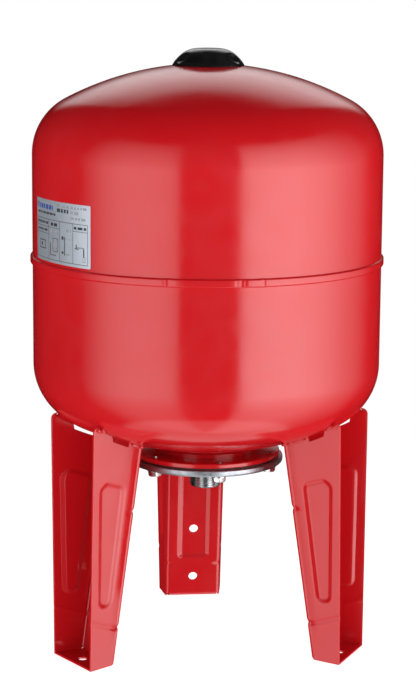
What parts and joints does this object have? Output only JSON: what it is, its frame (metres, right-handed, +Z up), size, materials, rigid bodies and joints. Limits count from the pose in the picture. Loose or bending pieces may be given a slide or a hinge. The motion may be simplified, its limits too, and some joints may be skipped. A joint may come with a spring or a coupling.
{
  "type": "expansion vessel",
  "caption": "Upright steel expansion vessel with domed ends, raised girth joint, pressed channel legs, bolted bottom flange with threaded water connection, and a gas valve under a round cover.",
  "frame": {"origin": "point on the floor below the vessel's axis", "axes": "+Z up along the vessel's axis; the rear leg stands on +Y and the front legs 60 degrees to each side of -Y"},
  "size_m": [0.3695, 0.3696, 0.6294],
  "materials": {
    "red_enamel": "glossy baked enamel",
    "zinc_plate": "satin zinc plating",
    "zinc_fastener": "bright zinc plating",
    "black_rubber": "matte moulded rubber",
    "brass": "turned brass",
    "spring_steel": "drawn wire",
    "black_plastic": "moulded plastic with a soft gloss",
    "label_film": "printed silver-white film"
  },
  "bodies": {
    "vessel": {"upper_shell": "red_enamel", "lower_shell": "red_enamel", "girth_weld": "red_enamel", "vessel_flange": "red_enamel", "neck_weld": "red_enamel", "leg_front_left": "red_enamel", "leg_front_right": "red_enamel", "leg_rear": "red_enamel", "leg_welds_front_left": "red_enamel", "leg_welds_front_right": "red_enamel", "leg_welds_rear": "red_enamel", "counter_flange": "zinc_plate", "water_nipple": "zinc_fastener", "nipple_weld": "zinc_plate", "flange_bolts": "zinc_fastener", "flange_washers": "zinc_fastener", "bladder": "black_rubber", "valve_boss": "red_enamel", "boss_weld": "red_enamel", "valve_stem": "brass", "valve_stem_seal": "black_rubber", "valve_core_barrel": "brass", "valve_core_seal": "black_rubber", "valve_core_spring": "spring_steel", "rating_label": "label_film"},
    "cover": {"valve_cover": "black_plastic"},
    "dust_cap": {"valve_dust_cap": "black_plastic"},
    "valve_pin": {"valve_core_pin": "brass"}
  },
  "joints": [
    {"name": "cover_lift", "type": "slide", "parent": "vessel", "child": "cover", "axis": [0, 0, 1], "range_m": [0, 0.08]},
    {"name": "dust_cap_lift", "type": "slide", "parent": "vessel", "child": "dust_cap", "axis": [0, 0, 1], "range_m": [0, 0.04]},
    {"name": "valve_pin_press", "type": "slide", "parent": "vessel", "child": "valve_pin", "axis": [0, 0, -1], "range_m": [0, 0.0015], "stiffness_N_per_m": 400, "springref_m": -0.003, "deforming": ["valve_core_spring"]}
  ],
  "couplings": [
    {"joint": "dust_cap_lift", "follows": "cover_lift", "ratio": 0.5}
  ]
}
